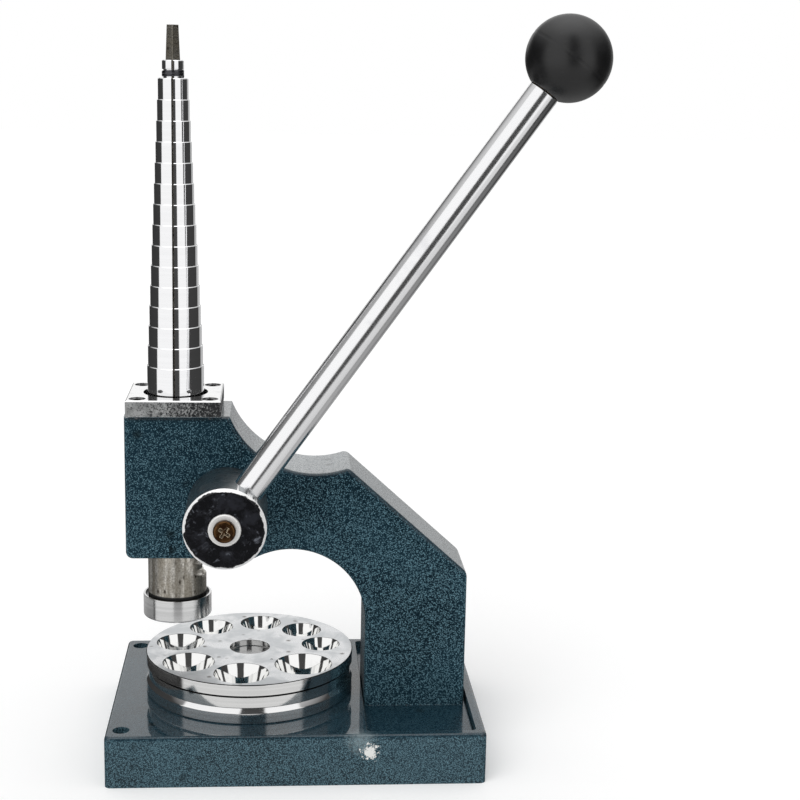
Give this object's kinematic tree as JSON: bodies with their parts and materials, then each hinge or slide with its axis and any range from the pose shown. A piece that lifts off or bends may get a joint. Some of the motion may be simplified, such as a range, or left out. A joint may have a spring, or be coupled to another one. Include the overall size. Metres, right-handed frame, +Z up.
{
  "type": "ring stretcher",
  "caption": "Bench tool that widens rings on a stepped expanding mandrel and narrows them in a turning plate of tapered holes, worked by a ball-ended lever through a rack on the ram.",
  "frame": {"origin": "centre of the base plate's underside", "axes": "+Z up along the mandrel, +Y to the rear, +X from the mandrel towards the column; the lever hub is on the -Y side"},
  "size_m": [0.199, 0.1159, 0.3117],
  "materials": {
    "casting_paint": "hammered enamel",
    "base_paint": "hammered enamel",
    "jaw_steel": "polished",
    "wedge_steel": "ground",
    "ring_steel": "blackened spring steel",
    "plate_steel": "machined",
    "ram_steel": "stained",
    "cap_steel": "turned",
    "die_steel": "satin",
    "seat_steel": "turned",
    "chromed_steel": "polished",
    "black_disc": "scuffed black",
    "ball_plastic": "glossy",
    "screw_steel": "blackened",
    "bronzed_screw": "bronzed",
    "bush_bronze": "machined",
    "gear_steel": "cut"
  },
  "bodies": {
    "frame": {"base_plate": "base_paint", "frame_casting": "casting_paint", "frame_bolts": "screw_steel", "top_plate": "plate_steel", "top_plate_screws": "screw_steel", "die_seat": "seat_steel", "die_seat_screws": "screw_steel", "die_pivot": "seat_steel", "die_pivot_screw": "screw_steel", "front_bush": "bush_bronze", "rear_bush": "bush_bronze", "rear_cover": "casting_paint", "rear_cover_screws": "screw_steel", "jaw_ring": "ring_steel"},
    "lever": {"lever_hub": "chromed_steel", "hub_face": "black_disc", "hub_washer": "plate_steel", "hub_screw": "bronzed_screw", "lever_rod": "chromed_steel", "ball_knob": "ball_plastic", "knob_insert": "bush_bronze", "pinion_shaft": "gear_steel", "pinion": "gear_steel", "pinion_key": "gear_steel", "hub_key": "gear_steel"},
    "ram": {"ram": "ram_steel", "press_cap": "cap_steel", "press_cap_screw": "screw_steel", "wedge_rod": "wedge_steel", "wedge_pin": "wedge_steel"},
    "jaw_rear_right": {"jaw_rear_right": "jaw_steel"},
    "jaw_rear_left": {"jaw_rear_left": "jaw_steel"},
    "jaw_front_left": {"jaw_front_left": "jaw_steel"},
    "jaw_front_right": {"jaw_front_right": "jaw_steel"},
    "die_plate": {"die_plate": "die_steel"}
  },
  "joints": [
    {"name": "lever_swing", "type": "hinge", "parent": "frame", "child": "lever", "pos_m": [-0.0293, 0, 0.10875], "axis": [0, 1, 0], "range_deg": [-54, 54]},
    {"name": "ram_slide", "type": "slide", "parent": "frame", "child": "ram", "axis": [0, 0, 1], "range_m": [-0.01202, 0.01202]},
    {"name": "jaw_rear_right_slide", "type": "slide", "parent": "frame", "child": "jaw_rear_right", "axis": [0.7071, 0.7071, 0], "range_m": [-0.000331, 0.000331]},
    {"name": "jaw_rear_left_slide", "type": "slide", "parent": "frame", "child": "jaw_rear_left", "axis": [-0.7071, 0.7071, 0], "range_m": [-0.000331, 0.000331]},
    {"name": "jaw_front_left_slide", "type": "slide", "parent": "frame", "child": "jaw_front_left", "axis": [-0.7071, -0.7071, 0], "range_m": [-0.000331, 0.000331]},
    {"name": "jaw_front_right_slide", "type": "slide", "parent": "frame", "child": "jaw_front_right", "axis": [0.7071, -0.7071, 0], "range_m": [-0.000331, 0.000331]},
    {"name": "die_plate_turn", "type": "hinge", "parent": "frame", "child": "die_plate", "pos_m": [-0.0202, 0, 0.0392], "axis": [0, 0, 1], "continuous": true}
  ],
  "couplings": [
    {"joint": "ram_slide", "follows": "lever_swing", "m_per_rad": 0.01275},
    {"joint": "jaw_rear_right_slide", "follows": "lever_swing", "m_per_rad": 0.00035063},
    {"joint": "jaw_rear_left_slide", "follows": "lever_swing", "m_per_rad": 0.00035063},
    {"joint": "jaw_front_left_slide", "follows": "lever_swing", "m_per_rad": 0.00035063},
    {"joint": "jaw_front_right_slide", "follows": "lever_swing", "m_per_rad": 0.00035063}
  ]
}
